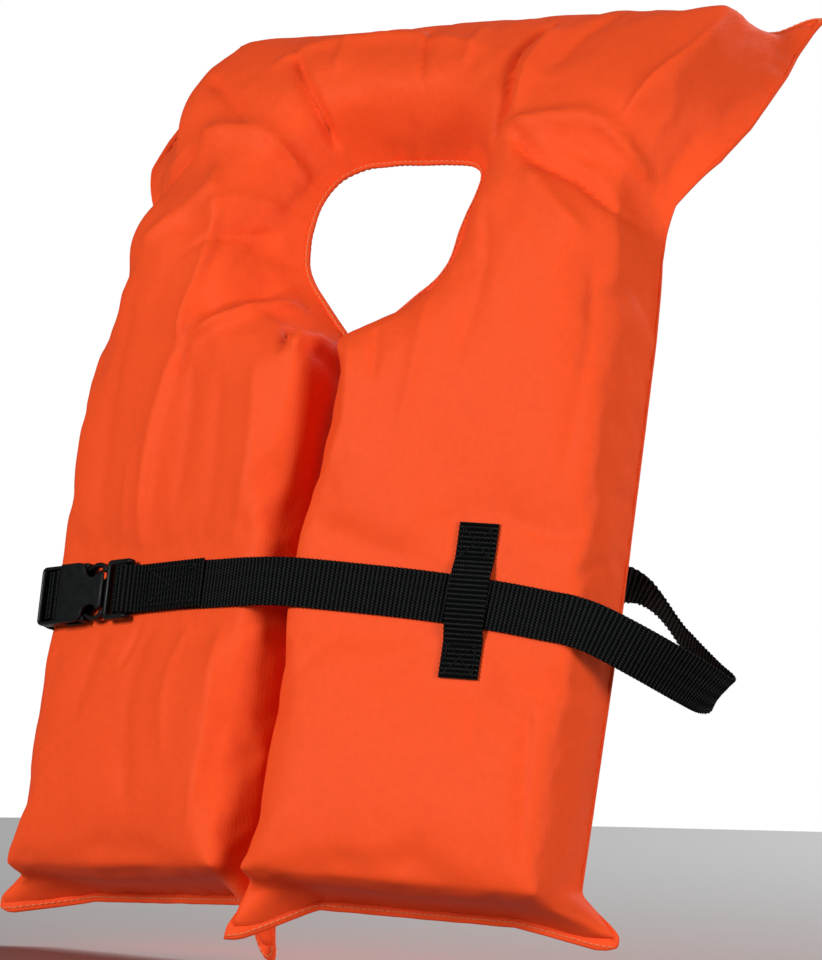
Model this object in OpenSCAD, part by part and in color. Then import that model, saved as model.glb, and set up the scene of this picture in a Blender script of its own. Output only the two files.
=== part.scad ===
// Keyhole life jacket, as worn: two foam front panels, a folded-back collar and a latched belt.
// +Z is up, the front faces -Y, and the origin is the centre of the neck opening.

/* [Panels] */
// Width of each front panel
panel_w = 171; // [160:1:180]
// Height of each front panel below the top of the slit
panel_h = 282; // [260:1:300]
// Thickness of the padding with its cover
pad_t = 43; // [40:1:46]
// How far the panels lean back, in degrees
lean = 12; // [8:1:16]
// How far each panel turns back from the slit, in degrees
sweep = 11; // [8:1:14]
// Gap between the two panels
slit = 3; // [2:0.5:5]

/* [Neck] */
// Half of the neck opening's width
neck_half = 61; // [56:1:64]
// Height at which the neck opening reaches its full width
neck_rise = 50; // [44:1:54]

/* [Collar] */
// Depth of the collar from the shoulder fold to its back seam
collar_d = 128; // [115:1:140]
// Slope of the collar above horizontal, in degrees
collar_slope = 40; // [34:1:46]
// Depth of the neck notch in the collar, from the shoulder fold
notch_d = 42; // [36:1:48]
// Half of the notch's width at its back
notch_half = 44; // [40:1:48]

/* [Cover] */
// Thickness of the cover fabric with its seam allowance
cloth = 1.2; // [1:0.1:1.6]
// Radius of the padding's front edges
edge_r = 14; // [10:1:18]
// How far the back seam stands out at the hems
seam_out = 8; // [5:1:12]

/* [Belt] */
// Width of the belt webbing
belt_w = 25.4; // [23:0.2:27]
// Thickness of the webbing
web_t = 1.6; // [1.4:0.1:1.8]
// Height of the belt below the top of the slit
belt_drop = 131; // [120:1:145]
// Width of the belt keeper
keeper_w = 22; // [20:1:25]
// Height of the belt keeper
keeper_h = 79; // [72:1:86]
// Distance of the keeper from the slit
keeper_u = 104; // [95:1:112]

/* [Buckle] */
// Height of the buckle socket across the belt
socket_h = 31; // [30:0.5:33]
// Length of the socket with its strap frame
socket_l = 49; // [49:0.5:51]
// Thickness of the buckle
buckle_t = 8.6; // [8.2:0.1:9.5]

/* [Hidden] */
$fn = 32;

orange = "orangered";
foam_white = "whitesmoke";
black = "#141618";
thread_black = "#2a2c2e";

neck_centre = [0, 18, 58];  // from the top of the slit, on the back sheets
shoulder_v = 81;            // height of the shoulder fold above the top of the slit
shoulder_back = 16;         // how far the fold line lies behind the back sheets at the slit
fold_gap = 11;              // padding stops this far short of the shoulder fold
play = 0.4;                 // clearance between the cover and the foam
plies = 3;                  // sheets of foam in each pocket
panel_top = shoulder_v - fold_gap;
ply_t = (pad_t - 2 * cloth - 2 * play) / plies;
thread = 0.6;               // thickness of a line of stitches

// ---------------------------------------------------------------- places

// Panel frame: X runs outwards from the slit, Z up the panel, and -Y out of its front.
module on_right_panel() {
    translate(-neck_centre) rotate([-lean, 0, 0]) rotate([0, 0, sweep]) children();
}

module on_left_panel() {
    mirror([1, 0, 0]) on_right_panel() children();
}

// Collar frame: X across, Z up the collar's slope from the fold, and -Y out of its top.
module on_collar() {
    translate(-neck_centre) rotate([-lean, 0, 0]) translate([0, shoulder_back, shoulder_v])
        rotate([lean + collar_slope - 90, 0, 0]) children();
}

// ---------------------------------------------------------------- pads

function corner(cx, cz, r, a0) = [for (k = [0:4]) [cx + r * cos(a0 + k * 22.5), cz + r * sin(a0 + k * 22.5)]];

// Outline of a rectangle with round corners
function round_rect(x0, x1, z0, z1, r) = concat(
    corner(x1 - r, z0 + r, r, 270), corner(x1 - r, z1 - r, r, 0),
    corner(x0 + r, z1 - r, r, 90), corner(x0 + r, z0 + r, r, 180));

// A layer of an outline: its back at depth y0, measured out of the front
module layer(y0, t) {
    translate([0, -y0, 0]) rotate([90, 0, 0]) linear_extrude(t) children();
}

// Block with rounded front edges, its walls moved in by inset
module pad_block(x0, x1, z0, z1, inset) {
    r = edge_r - inset;
    front = pad_t - inset;
    hull() {
        layer(inset, 0.5) polygon(round_rect(x0 + inset, x1 - inset, z0 + inset, z1 - inset, 7));
        for (a = [0:30:90]) {
            in = inset + r * (1 - cos(a));
            layer(front - r * (1 - sin(a)) - 0.1, 0.1)
                polygon(round_rect(x0 + in, x1 - in, z0 + in, z1 - in, 7));
        }
    }
}

// Half of the neck opening, where it cuts into a front panel
module neck_cut(grow) {
    offset(delta = grow)
        polygon([[-20, 0], [2, 0], [neck_half * 0.6, neck_rise * 0.4], [neck_half * 0.9, neck_rise * 0.72],
            [neck_half, neck_rise], [neck_half, panel_top + 3 * edge_r], [-20, panel_top + 3 * edge_r]]);
}

// Neck notch in the collar
module notch_cut(grow) {
    offset(delta = grow)
        polygon([[-neck_half, -3 * edge_r], [neck_half, -3 * edge_r], [neck_half, notch_d * 0.4],
            [notch_half, notch_d], [-notch_half, notch_d], [-neck_half, notch_d * 0.4]]);
}

module panel_pad(inset) {
    difference() {
        pad_block(slit / 2, panel_w, -panel_h, panel_top + 2 * edge_r, inset);
        layer(-1, pad_t + 2) neck_cut(inset);
        translate([0, -pad_t - 1, panel_top - inset]) cube([panel_w, pad_t + 2, 3 * edge_r]);
    }
}

module collar_pad(inset) {
    difference() {
        pad_block(-panel_w, panel_w, fold_gap - 2 * edge_r, collar_d - seam_out, inset);
        layer(-1, pad_t + 2) notch_cut(inset);
        translate([-panel_w, -pad_t - 1, fold_gap + inset - 3 * edge_r])
            cube([2 * panel_w, pad_t + 2, 3 * edge_r]);
    }
}

// Cross-section of a pad where it meets the shoulder fold, beside the neck
module fold_end(inset) {
    r = edge_r - inset;
    x1 = panel_w - inset;
    y1 = pad_t - inset;
    linear_extrude(0.1) polygon(concat([[neck_half + inset, -inset], [neck_half + inset, -y1]],
        [for (a = [90:-30:0]) [x1 - r + r * cos(a), -y1 + r - r * sin(a)]], [[x1, -inset]]));
}

// Fold of cover cloth between the right panel and the collar
module shoulder_fold(inset) {
    hull() {
        on_right_panel() translate([0, 0, panel_top - (inset > 0 ? 0.2 : 0)]) fold_end(inset);
        on_collar() translate([0, 0, fold_gap - (inset > 0 ? -0.1 : 0.1)]) fold_end(inset);
    }
}

module shoulder_cloth() {
    difference() {
        shoulder_fold(0);
        shoulder_fold(cloth);
    }
}

module right_shoulder_cloth() { color(orange) shoulder_cloth(); }
module left_shoulder_cloth() { color(orange) mirror([1, 0, 0]) shoulder_cloth(); }

// Cover over the front and sides of a pad, open at the back where the back sheet closes it
module tray() {
    difference() {
        children(0);
        children(1);
        layer(-1, 1 + cloth) square([4 * panel_w, 4 * panel_h], center = true);
    }
}

// One foam sheet of a pad, counted from the back
module ply(k) {
    intersection() {
        children();
        layer(cloth + play + k * ply_t + 0.15, ply_t - 0.3)
            square([4 * panel_w, 4 * panel_h], center = true);
    }
}

// Back sheet of a front panel, with the seam's pointed corners below the hem
module panel_back() {
    ear = seam_out * 1.6;
    layer(0, cloth) difference() {
        polygon([[slit / 2, panel_top], [slit / 2, -panel_h - ear], [slit / 2 + 22, -panel_h - seam_out],
            [panel_w - 25, -panel_h - seam_out], [panel_w + 6, -panel_h - ear],
            [panel_w, -panel_h + 18], [panel_w, panel_top]]);
        neck_cut(0);
    }
}

// Back sheet of the collar, with the seam's pointed corners
module collar_back() {
    ear = seam_out + 4;
    layer(0, cloth) difference() {
        polygon([[-panel_w, fold_gap], [-panel_w, collar_d - 30], [-panel_w - ear, collar_d + 3],
            [-panel_w + 26, collar_d], [panel_w - 26, collar_d], [panel_w + ear, collar_d + 3],
            [panel_w, collar_d - 30], [panel_w, fold_gap]]);
        notch_cut(0);
    }
}

// Line of stitches from a to b on a surface at depth y0
module stitch_line(a, b, y0) {
    run = b - a;
    translate([a[0], -y0 - thread / 2, a[1]]) rotate([0, -atan2(run[1], run[0]), 0])
        translate([0, -thread / 2, -thread / 2]) cube([norm(run), thread, thread]);
}

// Box of stitches with a cross in it
module box_stitch(x0, x1, z0, z1, y0) {
    stitch_line([x0, z0], [x1, z0], y0);
    stitch_line([x0, z1], [x1, z1], y0);
    stitch_line([x0, z0], [x0, z1], y0);
    stitch_line([x1, z0], [x1, z1], y0);
    stitch_line([x0, z0], [x1, z1], y0);
    stitch_line([x0, z1], [x1, z0], y0);
}

// Hem stitches on the back of a back sheet
module hem_thread(x0, x1, z) {
    stitch_line([x0, z], [x1, z], -thread);
}

module right_cover_front() {
    color(orange) on_right_panel() tray() { panel_pad(0); panel_pad(cloth); }
}
module left_cover_front() {
    color(orange) on_left_panel() tray() { panel_pad(0); panel_pad(cloth); }
}
module collar_cover_top() {
    color(orange) on_collar() tray() { collar_pad(0); collar_pad(cloth); }
}
module right_cover_back() { color(orange) on_right_panel() panel_back(); }
module left_cover_back() { color(orange) on_left_panel() panel_back(); }
module collar_cover_back() { color(orange) on_collar() collar_back(); }

module panel_ply(k) { color(foam_white) ply(k) panel_pad(cloth + play); }
module collar_ply(k) { color(foam_white) on_collar() ply(k) collar_pad(cloth + play); }

module right_foam_back() { on_right_panel() panel_ply(0); }
module right_foam_middle() { on_right_panel() panel_ply(1); }
module right_foam_front() { on_right_panel() panel_ply(2); }
module left_foam_back() { on_left_panel() panel_ply(0); }
module left_foam_middle() { on_left_panel() panel_ply(1); }
module left_foam_front() { on_left_panel() panel_ply(2); }
module collar_foam_back() { collar_ply(0); }
module collar_foam_middle() { collar_ply(1); }
module collar_foam_top() { collar_ply(2); }

module panel_thread() {
    color(orange) hem_thread(slit / 2 + 12, panel_w - 12, -panel_h - seam_out / 2);
}
module right_seam_thread() { on_right_panel() panel_thread(); }
module left_seam_thread() { on_left_panel() panel_thread(); }
module collar_seam_thread() {
    color(orange) on_collar() hem_thread(-panel_w + 14, panel_w - 14, collar_d - seam_out / 2);
}

// ---------------------------------------------------------------- belt

belt_y = pad_t + 0.5;       // depth of the belt's back face over the panels
belt_fall = 4;              // slope of the belt over the right panel, in degrees
buckle_fall = 3;            // slope of the belt and its buckle over the left panel, in degrees
belt_lay = 0.1;             // air between two layers of webbing
slack_u = panel_w - 4;      // where the slack leaves the right panel's front
frame_u = 90.5;             // inner end of the buckle's plug, from the slit
bar_u = frame_u + 8;        // middle of the bar that the belt is sewn round
bar_w = 4;
fold_u = 40;                // end of the sewn fold, from the slit
rear_u = panel_w - 60;      // where the socket's strap meets the run across the back

// Direction of the run from a to b in plan, and the mitred side step at point k of a path
function run(a, b) = let (d = [b[0] - a[0], b[1] - a[1]]) d / norm(d);
function side_step(path, k) =
    let (last = len(path) - 1,
        before = run(path[max(k - 1, 0)], path[max(k, 1)]),
        after = run(path[min(k, last - 1)], path[min(k + 1, last)]),
        sum = before + after)
    [-sum[1], sum[0]] * web_t / (sum * sum);

// Faces of a bar whose points are its four-cornered cross-sections, one after the other
function ring_faces(count) = concat([[3, 2, 1, 0]],
    [for (k = [0:4:count - 5]) for (j = [0:3])
        each let (a = k + j, b = k + (j + 1) % 4) [[a, b, b + 4], [a, b + 4, a + 4]]],
    [[for (j = [0:3]) count - 4 + j]]);

// Webbing bent through plan points [u, depth, height]
module bent_web(path) {
    ring = [for (k = [0:len(path) - 1]) let (p = path[k], d = side_step(path, k))
        each [for (c = [[1, -1], [1, 1], [-1, 1], [-1, -1]])
            [p[0] + c[0] * d[0], -p[1] - c[0] * d[1], p[2] + c[1] * belt_w / 2]]];
    polyhedron(ring, ring_faces(len(ring)));
}

module at_belt() { translate([0, 0, -belt_drop]) children(); }

// The belt's line over the left panel, falling away from the slit
module on_left_belt() { on_left_panel() at_belt() rotate([0, buckle_fall, 0]) children(); }

// A point of the right panel's frame, given as [u, depth, height], in the jacket's own frame
function panel_point(p) =
    let (x = p[0] * cos(sweep) + p[1] * sin(sweep), y = p[0] * sin(sweep) - p[1] * cos(sweep))
    [x, y * cos(lean) + p[2] * sin(lean), p[2] * cos(lean) - y * sin(lean)] - neck_centre;

// Cross-section of the belt at u, sunk by fall; side is 1 on the right panel and -1 on the left
function belt_section(u, fall, side) = [for (c = [[0, -1], [0, 1], [1, 1], [1, -1]])
    let (p = panel_point([u, belt_y + c[0] * web_t, c[1] * belt_w / 2 - belt_drop - fall]))
    [side * p[0], p[1], p[2]]];

module belt_front() {
    start = 4;              // the belt spans the slit between these distances from it
    ring = concat(belt_section(slack_u, slack_u * tan(belt_fall), 1),
        belt_section(start, start * tan(belt_fall), 1),
        belt_section(start, start * tan(buckle_fall), -1),
        belt_section(frame_u, frame_u * tan(buckle_fall), -1));
    color(black) polyhedron(ring, ring_faces(len(ring)));
}

// The belt's end, turned over the plug's bar and sewn down on the belt
module belt_fold() {
    under = belt_y + web_t / 2;
    over = under + web_t + belt_lay;
    color(black) on_left_belt()
        bent_web([[frame_u + 1.3, under, 0], [bar_u + bar_w, under + 0.8, 0],
            [bar_u + bar_w + 0.1, under + 5, 0], [bar_u + bar_w / 2, under + 6.8, 0],
            [bar_u - bar_w / 2, under + 6.6, 0], [bar_u - 3 * bar_w, over, 0], [fold_u, over, 0]]);
}

module belt_thread() {
    color(thread_black) on_left_belt()
        box_stitch(fold_u + 4, frame_u - 12, -9, 9, belt_y + 2 * web_t + 3 * belt_lay);
}

// The slack that loops out behind the right panel, and the run across the back
module belt_rear() {
    fall = -slack_u * tan(belt_fall);
    color(black) {
        on_right_panel() at_belt()
            bent_web([[slack_u + 1, belt_y + web_t / 2, fall], [panel_w + 7, 41.5, fall - 3],
                [panel_w + 26, 25, fall - 10], [panel_w + 40, -4, fall - 18],
                [panel_w + 43, -30, fall - 20], [panel_w + 37, -42, fall - 12],
                [panel_w + 17, -45, fall + 8], [panel_w - 11, -34, fall + 32],
                [panel_w - 51, -16, 12], [slit + 40, -5, 6], [0, -4.5, 2]]);
        on_left_belt() bent_web([[-1, -4.5, 2], [60, -3, 0], [rear_u - 0.3, -2.6, 0]]);
    }
}

keeper_mid = belt_drop + keeper_u * tan(belt_fall);

module keeper_loop() {
    flat_y = pad_t + 0.2;
    lift = belt_y + web_t + 0.4;
    gap = belt_w / 2 + 3;   // half of the tunnel that the belt runs through
    foot = gap + 4;
    color(black) on_right_panel()
        translate([keeper_u - keeper_w / 2, 0, -keeper_mid]) for (s = [0, 1]) mirror([0, 0, s]) {
            translate([0, -lift - web_t, -0.1]) cube([keeper_w, web_t, gap + 0.1]);
            hull() {
                translate([0, -lift - web_t, gap - 1]) cube([keeper_w, web_t, 1]);
                translate([0, -flat_y - web_t, foot]) cube([keeper_w, web_t, 1]);
            }
            translate([0, -flat_y - web_t, foot]) cube([keeper_w, web_t, keeper_h / 2 - foot]);
        }
}

module keeper_thread() {
    edge = 3;
    color(thread_black) on_right_panel() translate([keeper_u, 0, -keeper_mid])
        for (s = [0, 1]) mirror([0, 0, s])
            box_stitch(-keeper_w / 2 + edge, keeper_w / 2 - edge, belt_w / 2 + 10, keeper_h / 2 - edge,
                pad_t + 0.2 + web_t);
}

// ---------------------------------------------------------------- buckle

root_u = 110;               // the plug's shoulder, from the slit: the buckle's own zero along the belt
frame_t = 5;                // thickness of the plug's frame
pivot_p = 2.1;              // bending point of a prong, from the shoulder
pivot_v = 11.2;             // and its height above the belt's centre
travel = 30;                // how far the socket slides off
flex = 13;                  // how far a prong bends in over that travel, in degrees
mouth_p = 2;                // the socket's mouth
wall_p = 14;                // start of the socket's side walls
catch_p = 18;               // the edge that catches a prong's barb
window_p = 30.5;            // end of the side windows
inner_h = 12.8;             // half of the height inside the socket
plate = 1.6;                // thickness of the socket's two plates
bar_p = 41.5;               // middle of the bar that the strap turns over
slot_w = 4;                 // width of the strap's slots
bar_front = 1.1;            // the strap's bar and the end rail stand this far forward of the buckle's middle,
bar_back = 1.9;             // and this far back
buckle_y = pad_t + 0.7;     // depth of the buckle's back
mid_y = buckle_y + buckle_t / 2;

module on_buckle() {
    on_left_belt() translate([root_u, -mid_y, 0]) children();
}

// A flat plastic shape of thickness t, centred on the buckle's middle plane
module moulded(t) {
    translate([0, t / 2, 0]) rotate([90, 0, 0]) linear_extrude(t) children();
}

// Outer edge of a prong's barb at p: it clears the catching edge at each point of the travel
function barb(p) = inner_h - 0.3 + 0.95 * (p - pivot_p) * (p - catch_p) * flex / travel * PI / 180;

module prong() {
    tip = 27;
    root = 1.7;
    color(black) moulded(4) polygon(concat(
        [for (a = [270:-30:90]) [pivot_p + root * cos(a), pivot_v + root * sin(a)]],
        [[5, 13.6], [8, 14.1], [11, 13.6], [wall_p, inner_h - 0.4]],
        [for (p = [catch_p:1:tip]) [p, barb(p)]],
        [[28.6, barb(tip) - 1], [30, barb(tip) - 3], [29.5, 9.4], [24, 9.6], [16, 9.8], [8, 10.8]]));
}

module upper_prong() { on_buckle() prong(); }
module lower_prong() { on_buckle() mirror([0, 0, 1]) prong(); }

// Frame that the belt is sewn round, with its bar and the shoulder that meets the socket
module plug_frame() {
    back = frame_u - root_u;
    h = socket_h / 2 + 1;
    opening = belt_w / 2 + 0.9;
    post = 2.8;             // width of the shoulder
    bar_t = 3.4;
    color(black) on_buckle() {
        difference() {
            moulded(frame_t) polygon(round_rect(back, -0.4, -h, h, 2.4));
            translate([back - 1, -frame_t, -opening]) cube([0.6 - back - post, 2 * frame_t, 2 * opening]);
        }
        translate([bar_u - root_u - bar_w / 2, -bar_t / 2, -opening - 1])
            cube([bar_w, bar_t, 2 * opening + 2]);
    }
}

module plug_guide() {
    color(black) on_buckle() translate([-0.4, -1.6, -1.7]) cube([24, 3.2, 3.4]);
}

// Half of the socket's outline: a scalloped mouth, the body and the strap's frame
function socket_side() = let (h = socket_h / 2, end = mouth_p + socket_l) concat(
    [[mouth_p, 11]], [for (a = [0:30:180]) [8.5 - 5.5 * cos(a), 11 - 2.4 * sin(a)]],
    [[wall_p + 0.6, 13.5], [wall_p + 2, h], [window_p + 3, h], [end - 2, h - 0.6], [end, h - 2.6]]);

module socket_shell() {
    side = socket_side();
    far = [for (k = [len(side) - 1:-1:0]) [side[k][0], -side[k][1]]];
    gap = buckle_t - 2 * plate;
    slot_h = belt_w + 1.6;
    deep = 2 * buckle_t;
    color(black) on_buckle() difference() {
        moulded(buckle_t) polygon(concat(side, far));
        translate([0, -gap / 2, -inner_h]) cube([window_p + 1, gap, 2 * inner_h]);
        translate([catch_p, -gap / 2, -socket_h]) cube([window_p - catch_p, gap, 2 * socket_h]);
        translate([0, -gap / 2, -socket_h]) cube([wall_p, gap, 2 * socket_h]);
        for (s = [-1, 1]) translate([bar_p + s * slot_w - slot_w / 2, -deep / 2, -slot_h / 2])
            cube([slot_w, deep, slot_h]);
        for (y = [-deep - bar_front, bar_back])
            translate([bar_p - 1.5 * slot_w, y, -slot_h / 2]) cube([socket_l, deep, slot_h]);
    }
}

// Webbing that holds the socket: over its bar, round the left panel's edge and behind it
module socket_strap() {
    bar = root_u + bar_p;
    low = belt_y + web_t / 2;
    over = mid_y + bar_front + web_t / 2 + 0.4;
    drop = 1.4;             // how far the strap falls from the bar into each slot
    bend = edge_r + 1.5;
    on_bar = [[bar - slot_w, low + 0.4, 0], [bar - slot_w, over - drop, 0], [bar - slot_w / 2, over, 0],
        [bar + slot_w / 2, over, 0], [bar + slot_w, over - drop, 0], [bar + slot_w, low + 1.2, 0]];
    round_edge = [for (a = [80:-20:0])
        [panel_w - edge_r + (bend + 1) * cos(a), pad_t - edge_r + bend * sin(a), 0]];
    behind = [[panel_w + 2.9, 3, 0], [panel_w + 2.1, -1.4, 0], [panel_w - 1.6, -2.6, 0], [rear_u, -2.6, 0]];
    color(black) on_left_belt() bent_web(concat(on_bar, round_edge, behind));
}

right_cover_front();
right_cover_back();
left_cover_front();
left_cover_back();
right_foam_front();
right_foam_middle();
right_foam_back();
left_foam_front();
left_foam_middle();
left_foam_back();
right_shoulder_cloth();
left_shoulder_cloth();
right_seam_thread();
left_seam_thread();
collar_cover_top();
collar_cover_back();
collar_foam_top();
collar_foam_middle();
collar_foam_back();
collar_seam_thread();
belt_front();
belt_fold();
belt_thread();
belt_rear();
keeper_loop();
keeper_thread();
plug_frame();
plug_guide();
upper_prong();
lower_prong();
socket_shell();
socket_strap();
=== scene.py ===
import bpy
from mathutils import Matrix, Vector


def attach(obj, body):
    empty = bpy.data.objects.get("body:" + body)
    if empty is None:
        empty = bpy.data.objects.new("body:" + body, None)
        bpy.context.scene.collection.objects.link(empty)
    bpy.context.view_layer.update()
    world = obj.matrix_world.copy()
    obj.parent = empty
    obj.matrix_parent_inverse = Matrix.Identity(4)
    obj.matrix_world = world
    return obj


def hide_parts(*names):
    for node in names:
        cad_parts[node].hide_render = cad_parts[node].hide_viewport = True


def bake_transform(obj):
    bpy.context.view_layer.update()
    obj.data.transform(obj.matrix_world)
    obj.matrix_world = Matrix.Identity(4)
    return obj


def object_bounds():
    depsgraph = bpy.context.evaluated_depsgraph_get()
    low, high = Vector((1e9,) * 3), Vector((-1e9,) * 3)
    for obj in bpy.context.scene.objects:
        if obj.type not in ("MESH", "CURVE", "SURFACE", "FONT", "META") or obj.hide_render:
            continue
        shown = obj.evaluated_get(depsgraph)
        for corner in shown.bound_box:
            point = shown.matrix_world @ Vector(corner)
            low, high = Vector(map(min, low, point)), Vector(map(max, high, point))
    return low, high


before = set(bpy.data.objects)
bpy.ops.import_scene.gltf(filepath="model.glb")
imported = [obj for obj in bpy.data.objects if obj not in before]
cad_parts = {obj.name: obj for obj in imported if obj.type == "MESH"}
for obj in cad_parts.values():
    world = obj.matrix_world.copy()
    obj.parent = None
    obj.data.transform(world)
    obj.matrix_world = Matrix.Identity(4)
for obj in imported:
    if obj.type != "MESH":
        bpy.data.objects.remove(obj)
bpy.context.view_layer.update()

import math

import bmesh
import bpy
import numpy as np
from mathutils import Matrix, Vector, geometry, kdtree, noise

# Lengths below are in millimetres; MM turns them into the frame's metres.
MM = 0.001

# ------------------------------------------------------------ sizes, as in the CAD

# A place on a front panel is [u, d, v]: across from the slit, out from the back sheet, up from its top.
# A place on the flat pattern is [x, s, h]: across (positive on the right), up, and above the back sheet.

LEAN, SWEEP, COLLAR_SLOPE = (math.radians(a) for a in (12, 11, 40))
NECK_CENTRE = np.array([0, 18, 58])  # from the top of the slit, on the back sheets
PAD_THICK = 43.0
SHOULDER_UP, SHOULDER_BACK = 81.0, 16.0  # where the collar folds back
BELT_DROP, BELT_WIDTH, WEB_THICK = 131.0, 25.4, 1.6
BELT_FALL, BUCKLE_FALL = math.radians(4), math.radians(3)  # the belt's slopes on the right and left panels
BELT_DEPTH = PAD_THICK + 0.5
KEEPER_ACROSS, KEEPER_WIDTH, KEEPER_LENGTH = 106.5, 22.0, 79.0
KEEPER_DROP = 5  # the keeper is centred on the belt, which has fallen about this far there
PLUG_ACROSS, BUCKLE_DEPTH = 110.0, PAD_THICK + 5.0  # the plug's shoulder, and the buckle's middle
BUCKLE_MIDDLE = 135  # across the flat pattern


def ease(a, b, x):
    """0 below a, 1 above b, smooth in between."""
    t = np.clip((np.asarray(x, float) - a) / (b - a), 0, 1)
    return t * t * (3 - 2 * t)


def leaned(x, y, z):
    """Upright points, from the top of the slit, leant back and put in the row frame."""
    cos, sin = math.cos(LEAN), math.sin(LEAN)
    turned = np.stack([x, y * cos + z * sin, z * cos - y * sin], 1)
    return (turned - NECK_CENTRE) * MM


def on_panel(points, side=1):
    """Points [u, d, v] of a front panel, in the row frame. side is 1 on the right panel, -1 on the left."""
    u, d, v = np.asarray(points, float).reshape(-1, 3).T
    x = u * math.cos(SWEEP) + d * math.sin(SWEEP)
    y = u * math.sin(SWEEP) - d * math.cos(SWEEP)
    return leaned(side * x, y, v)


def arc(cx, cy, rx, ry, start, end, count=9):
    """Points on an ellipse about (cx, cy), from the start angle to the end angle."""
    turns = np.radians(np.linspace(start, end, count))
    return [(cx + rx * math.cos(a), cy + ry * math.sin(a)) for a in turns]


# ------------------------------------------------------------ the cover's pattern

SLIT_CLOSE = 3.5  # how far each side of the slit moves in when the flat pattern is bent
FOLD_ARC = 44.0  # length of the bend at the shoulders
VOXEL = 4.5  # size of the cover's faces before it is refined
CLOTH_FRAMES = 20

# Each half's outline as [x, s], from the slit's foot round to the middle of the collar: the seam at the back,
# then the front edge. The first row is the hem, and the last three points are the collar's rear.
RIGHT_SEAM = [(6, -292), (30, -287), (140, -287), (172, -292),
              (173, -130), (171, 10), (169, 50), (172, 83), (187, 109), (191, 135), (190, 180),
              (184, 214), (110, 213), (0, 212)]
RIGHT_EDGE = [(6, -281), (30, -281.5), (140, -281.5), (169, -281),
              (171, -130), (170, 10), (163, 58), (151, 88), (152, 106), (167, 122), (171, 155),
              (171, 187), (100, 189), (0, 182)]
LEFT_SEAM = [(6, -292), (30, -287), (145, -287), (177, -292),
             (171, -150), (171, 10), (169, 50), (168, 83), (180, 109), (184, 135), (184, 180),
             (184, 214), (110, 213), (0, 212)]
LEFT_EDGE = [(6, -281), (30, -281.5), (145, -281.5), (174, -281),
             (163, -150), (169, -8), (155, 55), (143, 74), (142, 92), (143, 115), (142, 142),
             (130, 168), (80, 173), (0, 182)]
NECK_SEAM = [(6, 0), (30, 21), (48, 39), (53, 57), (51, 90), (36, 109), (0, 112)]
NECK_EDGE = [(6, -4), (44, 15), (66, 36), (74, 60), (68, 90), (44, 113), (0, 117)]
SIDE_ROUND, HEM_ROUND, NECK_ROUND, SLIT_ROUND = 6.0, 6.0, 13.0, 8.0  # radii of the front edges


def bend(x, s, h, side=None):
    """Bends points [x, s, h] of the flat pattern at the shoulders, and puts them in the row frame."""
    side = np.where(x >= 0, 1.0, -1.0) if side is None else side
    turn = math.pi / 2 - LEAN - COLLAR_SLOPE
    radius = FOLD_ARC / turn
    start = SHOULDER_UP - radius * math.tan(turn / 2)
    angle = np.clip((s - start) / radius, 0, turn)
    over = np.maximum(s - (start + FOLD_ARC), 0)
    straight = ease(30, 115, s)  # 0 on the swept panels, 1 on the collar, which runs straight across
    back = radius * (1 - np.cos(angle)) + over * math.sin(turn) + SHOULDER_BACK * straight
    up = np.minimum(s, start) + radius * np.sin(angle) + over * math.cos(turn)
    swept = SWEEP * (1 - straight)
    u = x * side - SLIT_CLOSE * (1 - ease(60, 110, s))
    out = h * np.cos(swept) - u * np.sin(swept)
    across = side * (u * np.cos(swept) + h * np.sin(swept))
    return leaned(across, back - out * np.cos(angle), up + out * np.sin(angle))


def fullness(x, s):
    """Thickness of the padding, thin where it folds at the shoulders and beside them at the sides."""
    x = np.abs(x)
    fold = 17 * np.exp(-(((s - 85) / 20) ** 2)) * (0.45 + 0.55 * ease(60, 150, x))
    slope = 9 * ease(130, 172, x) * ease(-60, 30, s) * (1 - ease(60, 100, s))
    return PAD_THICK - fold - slope


# Pointed corners of the hem and the collar: [x, s], the tip's pull in [x, s, h], and the reach of the pull.
EARS = [((172, -292), (23, -4, -2), 13), ((6, -292), (-12, -18, 24), 15),
        ((-177, -292), (-13, -7, 24), 16), ((-6, -292), (3, -24, -4), 12),
        ((184, 214), (4, 9, 2), 12), ((-184, 214), (-2, 4, 0), 12)]


def shaped(x, s, h):
    """Pulls the flat pattern into the jacket's uneven shape. Gives [x, s, h, side of the slit]."""
    side = np.where(x >= 0, 1.0, -1.0)
    x, s, h = (np.array(v, float) for v in (x, s, h))
    near_slit = (1 - ease(0, 60, np.abs(x))) * ease(0, PAD_THICK, h)
    # The padding beside the slit lies over to the right at its top, and the right panel's back at the hem.
    top = ease(-130, -35, s) * (1 - ease(-20, 12, s))
    x += near_slit * np.where(side > 0, 7 * top - 7 * (1 - ease(-285, -250, s)), 9 * top)
    foot = (1 - ease(0, PAD_THICK, h)) ** 2
    for (ear_x, ear_s), (dx, ds, dh), reach in EARS:
        same = side == math.copysign(1, ear_x)
        pull = (1 - ease(0.25 * reach, 1.7 * reach, np.hypot(x - ear_x, s - ear_s))) * foot * same
        x, s, h = x + dx * pull, s + ds * pull, h + dh * pull
    return x, s, h, side


def cover_point(x, s, h):
    """Flat pattern points to the row frame, with the fold's thickness and the uneven shape."""
    x, s, h = (np.atleast_1d(np.asarray(v, float)) for v in (x, s, h))
    thick = fullness(x, s) / PAD_THICK
    x, s, h, side = shaped(x, s, h)
    return bend(x, s, h * thick, side)


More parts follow.
